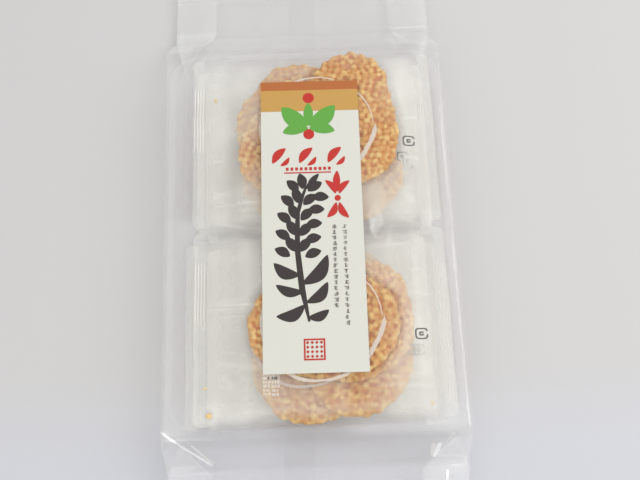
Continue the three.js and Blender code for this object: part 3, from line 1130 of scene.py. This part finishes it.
# %% The bag's driving sizes, which its solid in the frame has too
BLOCK = {"width": 160.0, "length": 213.0, "height": 36.0, "inset": 5.0, "edge": 2.4}
LIFT = 0.35  # the skin's lowest point above the table
BAG_LENGTH = float(bag_high[1] - bag_low[1])
ENDS = {1: {"slope": 33.0, "height": 5.0, "end": 5.0, "width": 159.5},
        -1: {"slope": 21.0, "height": 17.0, "end": 7.0, "width": 160.0}}
TUCK = 25.5
SHEETS = {"loose": 0.5, "sealed": 0.25}  # half the distance between a flap's outer films
SEAL = {"width": 8.0, "ribs": 4, "height": 0.3}
FLAP_WAVE = {"height": 0.9, "length": 52}
SLACK = 0.5
HALF_BLOCK = BLOCK["length"] / 2
STACK_RISES = [((3, 59), (70, 48), 0.9), ((3, -50), (72, 52), 1.0)]  # middle, half size, height
DIP = {"y": 4, "half": 14, "depth": 1.5}  # between the stacks
LABEL = {"x": 1.8, "y": 5.2, "turn": math.radians(-0.6), "width": 55.4, "length": 165.6}
LABEL_BED = {"height": label_low[2] - 0.25, "margin": 2.0, "blend": 10.0}  # the film is flat under the label


def face_height(x, y):
    height = np.full_like(x, BLOCK["height"])
    for centre, half, rise in STACK_RISES:
        across = ease(np.clip(1 - np.abs(x - centre[0]) / half[0], 0, 1) * 2.2)
        along = ease(np.clip(1 - np.abs(y - centre[1]) / half[1], 0, 1) * 2.2)
        height += rise * across * along
    from_side = ease((BLOCK["width"] / 2 - np.abs(x)) / 20)
    height -= DIP["depth"] * ease(1 - np.abs(y - DIP["y"]) / DIP["half"]) * from_side
    out_x = np.maximum(0, np.abs(x - LABEL["x"]) - LABEL["width"] / 2 - LABEL_BED["margin"])
    out_y = np.maximum(0, np.abs(y - LABEL["y"]) - LABEL["length"] / 2 - LABEL_BED["margin"])
    under_label = ease(1 - np.hypot(out_x, out_y) / LABEL_BED["blend"])
    return mix(height, LABEL_BED["height"], under_label)


def soft_waves(x, y):
    """Slow unevenness of loose film, the same on every run."""
    return (np.sin(x * 0.09 + np.sin(y * 0.05) * 1.7) * np.cos(y * 0.071 + x * 0.023)
            + 0.5 * np.sin(x * 0.21 - y * 0.13 + 1.3))


# %% One ring of the bag's skin
TOP_COLUMNS, BACK_COLUMNS, ARC, SIDE = 96, 40, 4, (9, 5, 9)


def arc(x, z, radius, start):
    """A quarter circle that turns clockwise from a heading in radians, without its first point."""
    turns = start - math.pi / 2 * np.arange(1, ARC + 1) / ARC
    return list(zip(x + radius * np.cos(turns), z + radius * np.sin(turns)))


def side_of_ring(half_x, foot_x, top_z, foot_z, share):
    """Down the right side: round the upper edge, in and out along the gusset, round the lower edge."""
    radius = min(BLOCK["edge"], (top_z - foot_z) * 0.3)
    upper, lower = (half_x, top_z - radius), (foot_x, foot_z + radius)
    cut = mix(0.14, 0.42, share)
    creases = [(mix(upper[0], lower[0], down) - TUCK * share, mix(upper[1], lower[1], down))
               for down in (cut, 1 - cut)]
    points = arc(half_x - radius, top_z - radius, radius, math.pi / 2)
    stops = [upper, *creases, lower]
    for start, stop, steps in zip(stops, stops[1:], SIDE):
        points += [tuple(mix(np.array(start), np.array(stop), step / steps)) for step in range(1, steps + 1)]
    return radius, points + arc(foot_x - radius, foot_z + radius, radius, 0)


def ring_at(y):
    """The ring at a station: its face from left to right, its right side, its back and its left side."""
    side = 1 if y > 0 else -1
    end = ENDS[side]
    beyond = max(0.0, abs(y) - HALF_BLOCK)
    share = min(1.0, beyond / end["slope"])
    closed = ease(share)
    half_x = mix(BLOCK["width"] / 2, end["width"] / 2, closed)
    foot_x = mix(BLOCK["width"] / 2 - BLOCK["inset"], end["width"] / 2, closed)
    settle = ease((beyond - end["slope"]) / (BAG_LENGTH / 2 - HALF_BLOCK - end["slope"]))
    into_seal = max(0.0, abs(y) - (BAG_LENGTH / 2 - SEAL["width"]))
    rib = SEAL["height"] * abs(math.sin(math.pi * SEAL["ribs"] * into_seal / SEAL["width"]))
    apart = mix(SHEETS["loose"], SHEETS["sealed"], ease((abs(y) - BAG_LENGTH / 2 + SEAL["width"] + 3) / 3))

    def film(x, block, gap):
        wave = FLAP_WAVE["height"] * np.cos(2 * math.pi * x / FLAP_WAVE["length"] + side)
        slack = SLACK * soft_waves(x, np.full_like(x, y)) * ease(beyond / 8) * (1 - settle * 0.5)
        return mix(block, mix(end["height"], end["end"], settle) + wave + gap + rib + slack, closed)

    def top(x):
        return film(x, face_height(x, np.full_like(x, side * min(abs(y), HALF_BLOCK))), apart)

    def back(x):
        return film(x, LIFT, -apart)

    top_z, foot_z = top(np.array([half_x]))[0], back(np.array([foot_x]))[0]
    radius, right = side_of_ring(half_x, foot_x, top_z, foot_z, share)
    face = np.linspace(-(half_x - radius), half_x - radius, TOP_COLUMNS + 1)
    backs = np.linspace(foot_x - radius, -(foot_x - radius), BACK_COLUMNS + 1)[1:-1]
    left = [(-x, z) for x, z in reversed(right)]
    points = [*zip(face, top(face)), *right, *zip(backs, back(backs)), *left]
    return [(x, y, z) for x, z in points]


# %% The whole skin
def bag_stations():
    """Stations from the near end to the far one, closer together where the film bends."""
    seal = BAG_LENGTH / 2 - SEAL["width"]
    turns = [-BAG_LENGTH / 2, -seal, -HALF_BLOCK - ENDS[-1]["slope"], -HALF_BLOCK, HALF_BLOCK,
             HALF_BLOCK + ENDS[1]["slope"], seal, BAG_LENGTH / 2]
    counts = (16, 25, 25, 109, 33, 19, 16)
    parts = [np.linspace(*ends, count + 1)[:-1] for *ends, count in zip(turns, turns[1:], counts)]
    return np.concatenate([*parts, turns[-1:]])


# %% [markdown]
# Where the skin stands clear of what lies under it, it looks whiter: over the flaps and gussets, in bands
# where it bridges the gap between the stacks and the steps to the tray's ends, along the tray's rim, and at
# the near corners. The folded ear of the far left gusset is whitest: its two layers of film, and a painted
# reflection of the light on that fold.

# %% How milky each spot of the bag's skin looks
BRIDGES = [(0.12, 1, 7), (0.1, 106, 5)]  # strength, y, reach
NEAR_STEP = {"y": -106, "reach": 4, "left": 0.03, "more": 0.15}
RIM_MILK = {"near": 0.09, "far": 0.05, "from": 8}
CORNERS = [(-73, -113, 12, 0.12), (73, -113, 15, 0.18)]  # x, y, reach, strength
EAR_REFLECTION_MILK, SEAL_MILK, GUSSET_MILK = 0.14, 0.06, 0.05
FLAP_MILK = {"near": 0.04, "near_right": 0.05, "far": 0.015}


def hill(distance, reach):
    return np.exp(-(distance / reach) ** 2)


def bag_milk(points):
    x, y, z = points.T
    off_x = np.abs(x)
    beyond = np.clip((np.abs(y) - HALF_BLOCK) / 20, 0, 1)
    milk = sum(strength * hill(y - at, reach) for strength, at, reach in BRIDGES)
    step = NEAR_STEP["left"] + NEAR_STEP["more"] * ease((x - 8) / 18)
    milk += step * hill(y - NEAR_STEP["y"], NEAR_STEP["reach"])
    milk = milk * ease((76 - off_x) / 12) * (z > 26)
    rim = ease((off_x - 60) / 8) * ease((79.5 - off_x) / 2) * (z > 30) * (np.abs(y) < HALF_BLOCK)
    milk += np.where(y < RIM_MILK["from"], RIM_MILK["near"], RIM_MILK["far"]) * rim
    for at_x, at_y, reach, strength in CORNERS:
        milk += strength * hill(np.hypot(x - at_x, y - at_y), reach)
    # painted reflection: the far left gusset's folded ear is made whitest, for the light that its fold
    # mirrors
    milk += EAR_REFLECTION_MILK * ease((140.5 - y) / 2) * ease((y - 117 - (x + 79.5) * 0.92) / 2) * (x < -54)
    right = FLAP_MILK["near_right"] * ease((x - 15) / 30) * ease((74 - x) / 10)
    milk += np.where(y < 0, FLAP_MILK["near"] + right, FLAP_MILK["far"]) * beyond
    doubled = np.clip((off_x - (BLOCK["width"] / 2 - TUCK)) / 1.5, 0, 1)
    milk += GUSSET_MILK * np.maximum(doubled, 0.7 * ease((x - 34) / 14)) * (y > 0) * beyond
    in_seal = np.abs(y) > BAG_LENGTH / 2 - SEAL["width"]
    return np.maximum(milk, SEAL_MILK * in_seal) * (z > 1)


def make_bag(rings):
    points = rings.reshape(-1, 3)
    faces = grid_faces(*rings.shape[:2], wrap=True)
    piece = make_piece("bag_film", points, faces, BAG_FINISH, bag_milk(points))
    skin = bmesh.new()
    skin.from_mesh(piece.data)
    bmesh.ops.holes_fill(skin, edges=[edge for edge in skin.edges if edge.is_boundary], sides=0)
    bmesh.ops.triangulate(skin, faces=[face for face in skin.faces if len(face.verts) > 4])
    bmesh.ops.recalc_face_normals(skin, faces=skin.faces)
    skin.to_mesh(piece.data)
    skin.free()
    piece.data.shade_smooth()
    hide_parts("bag")
    return piece


bag_rings = np.array([ring_at(float(y)) for y in bag_stations()])
bag_film = make_bag(bag_rings)
print("bag film:", len(bag_film.data.polygons), "faces")

# %% [markdown]
# The tube of film was closed along the middle of the bag's back, where its two edges lie flat, one on the
# other. The doubled film is tinted dark grey as painted shade, for the darker band that shows through both
# flaps, most of all at the near end.

# %% The seam along the middle of the bag's back
BACK_SEAM = {"near": -11.5, "far": 0.5, "width": 16.5, "gap": 0.12, "shade_end": 0.06, "lanes": 12}
# painted shade: the seam's sheet is dark grey, so it darkens the flaps where it lies
SEAM_SHADE_FINISH = film_material("sealed double film with painted shade", 0.035, 0.1, 0.3, tint=(0.42, 0.42, 0.45, 1))


def make_back_seam(rings):
    first = TOP_COLUMNS + 1 + 2 * ARC + sum(SIDE)
    points = []
    for back in rings[:, first:first + BACK_COLUMNS - 1]:
        y = back[0, 1]
        middle = mix(BACK_SEAM["near"], BACK_SEAM["far"], y / BAG_LENGTH + 0.5)
        across = middle + BACK_SEAM["width"] * np.linspace(0.5, -0.5, BACK_SEAM["lanes"])
        heights = np.interp(across, back[::-1, 0], back[::-1, 2]) - BACK_SEAM["gap"]
        points += [(x, y, z) for x, z in zip(across, heights)]
    faces = [face[::-1] for face in grid_faces(len(rings), BACK_SEAM["lanes"])]
    # painted shade that grows towards the near end
    grey = BACK_SEAM["shade_end"] * ease((-HALF_BLOCK - 5 - np.array(points)[:, 1]) / 15)
    return make_piece("back_seam", points, faces, SEAM_SHADE_FINISH, grey)


make_back_seam(bag_rings)

# %% [markdown]
# ## The label
# The label is a strip of smooth white paper. Its solid is already right, so it only gets a paper finish.
# The printing is generic: fields of colour, leaves, an ear of rice in brush strokes and a small lattice
# seal. An image texture would print it too, but each ink is cut here as flat outlines that are raised by a
# hair, so that its edges stay sharp however near the camera comes.

# %% Paper, and ink that is cut as outlines
LABEL_TOP = float(label_high[2])
INK_GAP = 0.01
INK_THICKNESS = 0.05
INK_STEP = 0.003  # each shape a hair above the last, so that none share a plane
PAPER_INKS = {
    "brown": srgb(183, 106, 48), "tan": srgb(201, 155, 80), "green": srgb(96, 168, 62),
    "red": srgb(196, 40, 30), "black": srgb(50, 42, 40), "grey": srgb(98, 92, 88),
}


def paper_material():
    tree = Material("smooth white paper")
    fibre = tree.noise(0.8, 4.0)
    colour = tree.blend(tree.noise(0.02, 2.0), srgb(213, 213, 203), srgb(217, 217, 207))
    bump = tree.bump(fibre, 0.12, 0.05)
    return tree.finish(tree.principled(Base_Color=colour, Roughness=0.5 + fibre * 0.15, Normal=bump))


def on_label(points):
    """From the label's own right-and-up millimetres, measured from its middle, to the frame."""
    x, y = np.asarray(points, float).T
    cos, sin = math.cos(LABEL["turn"]), math.sin(LABEL["turn"])
    return np.stack([LABEL["x"] + x * cos - y * sin, LABEL["y"] + x * sin + y * cos], -1)


def print_shapes(colour, shapes, layer=0):
    """One piece of ink. Each shape is a closed outline, which becomes a slab as thick as the ink."""
    slabs = bmesh.new()
    base = LABEL_TOP + INK_GAP + layer * INK_THICKNESS
    for index, shape in enumerate(shapes):
        level = (base + index * INK_STEP) * MM
        slabs.faces.new([slabs.verts.new((x * MM, y * MM, level)) for x, y in on_label(shape)])
    bmesh.ops.recalc_face_normals(slabs, faces=slabs.faces)
    for face in slabs.faces:
        if face.normal.z > 0:
            face.normal_flip()
    raised = bmesh.ops.extrude_face_region(slabs, geom=list(slabs.faces))
    tops = [item for item in raised["geom"] if isinstance(item, bmesh.types.BMVert)]
    bmesh.ops.translate(slabs, verts=tops, vec=(0, 0, INK_THICKNESS * MM))
    bmesh.ops.recalc_face_normals(slabs, faces=slabs.faces)
    bmesh.ops.triangulate(slabs, faces=slabs.faces)
    name = f"label_print_{colour}"
    mesh = bpy.data.meshes.new(name)
    slabs.to_mesh(mesh)
    slabs.free()
    print(f"{colour}: {len(shapes)} shapes")
    return place_piece(name, mesh, ink_material(f"{colour} paper ink", PAPER_INKS[colour]))


frame["nodes"]["label"].data.materials.clear()
frame["nodes"]["label"].data.materials.append(paper_material())

# %% The outlines that the printing is drawn with
def block(left, right, low, high):
    return [(left, low), (right, low), (right, high), (left, high)]


def oval(x, y, width, height, turn=0.0, count=28):
    angles = np.linspace(0, 2 * math.pi, count, endpoint=False)
    across, along = width / 2 * np.cos(angles), height / 2 * np.sin(angles)
    cos, sin = math.cos(turn), math.sin(turn)
    return list(zip(x + across * cos - along * sin, y + across * sin + along * cos))


def blade(root, tip, width, bow=0.0, count=16):
    """A leaf or a brush stroke from root to tip, broadest in its middle and bent to one side."""
    root, tip = np.array(root, float), np.array(tip, float)
    along = tip - root
    side = np.array([-along[1], along[0]]) / np.hypot(*along)
    share = np.linspace(0, 1, count)
    spine = root + share[:, None] * along + (np.sin(share * math.pi) * bow)[:, None] * side
    offset = (width / 2 * np.sin(share * math.pi) ** 0.75)[:, None] * side
    return [*map(tuple, spine + offset), *map(tuple, (spine - offset)[-2:0:-1])]


def stroke(points, widths):
    """A band along a bent line, such as a stem, with its own width at each point."""
    points = np.array(points, float)
    run = np.concatenate([[0], np.cumsum(np.hypot(*np.diff(points, axis=0).T))])
    even = np.linspace(0, run[-1], 24)
    spine = np.stack([np.interp(even, run, points[:, 0]), np.interp(even, run, points[:, 1])], -1)
    heading = np.gradient(spine, axis=0)
    side = np.stack([-heading[:, 1], heading[:, 0]], -1) / np.hypot(*heading.T)[:, None]
    offset = side * np.interp(even, run, widths)[:, None] / 2
    return [*map(tuple, spine + offset), *map(tuple, (spine - offset)[::-1])]


# %% Fields of colour at the label's head, and the leaves under them
HALF_WIDTH, HALF_LENGTH = LABEL["width"] / 2, LABEL["length"] / 2
BROWN_BAND, TAN_BAND = 5.4, 18.4  # how far down from the label's head each reaches
print_shapes("brown", [block(-HALF_WIDTH, HALF_WIDTH, HALF_LENGTH - BROWN_BAND, HALF_LENGTH)])
print_shapes("tan", [block(-HALF_WIDTH, HALF_WIDTH, HALF_LENGTH - TAN_BAND, HALF_LENGTH - BROWN_BAND)])
LEAVES = [  # root, tip, width, bow
    ((-0.8, 55.5), (-16, 67), 9.5, 1.6), ((-0.8, 55.5), (14.4, 67.5), 9.5, -1.6),
    ((-1.0, 54), (-15.5, 51.5), 7.0, -1.0), ((-0.6, 54), (13.9, 52), 7.0, 1.0),
    ((-0.8, 55.5), (-0.8, 69.5), 5.4, 0.0),
]
print_shapes("green", [blade(*leaf) for leaf in LEAVES], layer=1)

# %% An ear of rice in black brush strokes
STALK = [(-3, -56), (-6.5, -38), (-8.6, -16), (-8, 4), (-4, 17), (0.5, 24)]
STALK_WIDTHS = [1.2, 3.4, 3.0, 2.4, 1.6, 0.8]
GRAIN_ROOTS = [(-8.6, -20), (-8.7, -11), (-8.3, -2), (-6.9, 7), (-4.4, 15)]
GRAIN_STROKE = {"length": 9.4, "width": 5.4, "bow": 0.5}
EAR_LEAVES = [  # root, tip, width, bow
    ((-2.4, 17.5), (4.2, 26.5), 3.6, 0.4), ((-7.4, -31), (-21.5, -24), 6.6, 2.4),
    ((-6.6, -36), (7.8, -20), 7.4, -3.2), ((-5.6, -40), (-20.5, -36), 5.4, 2.0),
    ((-5.0, -47), (-20.5, -53), 6.4, 2.8), ((-4.4, -46), (7.4, -35), 6.0, -2.4),
    ((-3.8, -54), (7.6, -50), 5.0, -1.6),
]


def rice_ear():
    """A stalk, two pairs of grains at each root that turn with the stalk, and the leaves below them."""
    shapes = [stroke(STALK, STALK_WIDTHS)]
    for index, (x, y) in enumerate(GRAIN_ROOTS):
        for side in (-1, 1):
            for lower, (spread, start) in enumerate(((34, 2.6), (66, 4.4))):
                angle = math.radians(86 - index * 5 - side * spread)
                way = np.array([math.cos(angle), math.sin(angle)])
                root = np.array([x, y - lower * 2.4]) + start * way
                tip = root + GRAIN_STROKE["length"] * way
                shapes.append(blade(root, tip, GRAIN_STROKE["width"], GRAIN_STROKE["bow"] * side))
    return shapes + [blade(*leaf) for leaf in EAR_LEAVES]


print_shapes("black", rice_ear())

# %% Red grains, a red sprig and a lattice seal
DOTS = [(-0.6, 72.4, 6.4, 6.4), (-0.8, 50.2, 6.2, 6.2)]
SPRIG = [  # root, tip, width, bow
    ((14.2, 15.5), (14.4, 28), 4.0, 0.4), ((13.4, 14.5), (7.6, 22.5), 3.4, -1.0),
    ((15, 14.5), (21, 22), 3.4, 1.0), ((13.4, 9.5), (8.2, 1), 3.8, 1.2), ((15, 9.5), (20, 0.5), 3.8, -1.2),
]
SEAL_PRINT = {"x": -0.6, "y": -70.6, "size": 11.2, "line": 0.8, "cells": 4, "diamond": 0.36}


def lattice_seal(x, y, size, line, cells, diamond):
    """A square outline round rows of small diamonds."""
    reach = size / 2
    inner = reach - line
    shapes = [block(x - reach, x + reach, y + inner, y + reach),
              block(x - reach, x + reach, y - reach, y - inner),
              block(x - reach, x - inner, y - inner, y + inner),
              block(x + inner, x + reach, y - inner, y + inner)]
    step = 2 * inner / cells
    for row in range(cells):
        for column in range(cells):
            cx, cy, half = x - inner + (column + 0.5) * step, y - inner + (row + 0.5) * step, step * diamond
            shapes.append([(cx - half, cy), (cx, cy - half), (cx + half, cy), (cx, cy + half)])
    return shapes


reds = [oval(*dot) for dot in DOTS]
for x in (-17.5, -2.5, 13.5):
    reds.append(blade((x - 4, 33), (x + 3.5, 42), 4.6, 1.0))
    reds.append(blade((x + 0.5, 31.5), (x + 5.5, 36.5), 2.6, -0.8))
reds.append(block(-15, 11, 26.9, 27.6))
reds += [block(x, x + 1.5, 28.6, 30.4) for x in np.arange(-14, 10, 2.6)]
reds += [blade(*leaf) for leaf in SPRIG] + [oval(14.2, 12, 3.4, 3.4)]
print_shapes("red", reds + lattice_seal(**SEAL_PRINT), layer=1)

# %% Columns of small grey ticks beside the ear
TICK_COLUMNS = [(17.4, -3.5, -59), (11.8, -3.5, -47)]  # x, top, foot
TICK_PITCH = 3.1


def ticks():
    """Each tick is three short level bars and an upright one, all a little different."""
    rng = np.random.default_rng(5)
    shapes = []
    for x, top, foot in TICK_COLUMNS:
        for y in np.arange(top, foot, -TICK_PITCH):
            for row in (0.0, 0.75, 1.5):
                left, right = rng.uniform(-1.3, -0.2), rng.uniform(0.2, 1.3)
                shapes.append(block(x + left, x + right, y - row - 0.3, y - row))
            upright = rng.uniform(-0.7, 0.7)
            shapes.append(block(x + upright, x + upright + 0.32, y - rng.uniform(1.4, 2.2), y + 0.3))
    return shapes


print_shapes("grey", ticks())

# %% [markdown]
# ## Crumbs
# A few crumbs came off the crackers and lie in the corners of the packets. Each is three small lumps that
# stick together. They are too small for a grain tree of their own, so each lump is a slightly uneven ball.

# %% Crumbs
CRUMBS = [(-55.7, -96.5, 31, 3.8), (-57.7, -83, 31, 2.0), (61, -94.5, 30, 2.0), (-51.3, 81.3, 31, 2.4)]
LUMP = {"radius": 0.32, "spread": 0.3, "uneven": 0.16}  # as shares of a crumb's size


def crumb_material():
    tree = Material("pale crumb with painted glare")
    # painted highlight: the crumbs are painted paler and yellower than the crackers, for the glare on them
    # in the packets' shade
    colour = tree.blend(tree.noise(0.5), srgb(246, 224, 150), srgb(238, 190, 92))
    return tree.finish(tree.principled(Base_Color=colour, Roughness=0.6))


def make_crumbs():
    lumps = bmesh.new()
    rng = np.random.default_rng(77)
    for *place, size in CRUMBS:
        for _ in range(3):
            made = bmesh.ops.create_icosphere(lumps, subdivisions=2, radius=size * LUMP["radius"] * MM)
            offset = rng.uniform(-LUMP["spread"], LUMP["spread"], 3) * size * (1, 1, 0.3)
            for vert in made["verts"]:
                vert.co *= 1 + LUMP["uneven"] * math.sin(vert.co.x * 4000 + vert.co.y * 3000)
                vert.co += Vector((place + offset) * MM)
    mesh = bpy.data.meshes.new("crumbs")
    lumps.to_mesh(mesh)
    lumps.free()
    mesh.shade_smooth()
    return place_piece("crumbs", mesh, crumb_material())


make_crumbs()
print(len(CRUMBS), "crumbs")

# %% [markdown]
# ## What stands for the bag's solid
# In the frame the whole bag is one solid. Here its film, and all that shows through the film, takes the
# solid's place, and the solid itself is hidden.

# %% The film and its contents replace the solid
CONTENTS = ("tray", "packet", "cracker", "crumbs", "ring_print", "grey_mark", "patch", "back_seam")
contents = [piece for piece in bpy.data.objects if piece.name.startswith(CONTENTS)]
for piece in contents:
    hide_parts("bag")
print(len(contents), "pieces lie in the bag or on it")
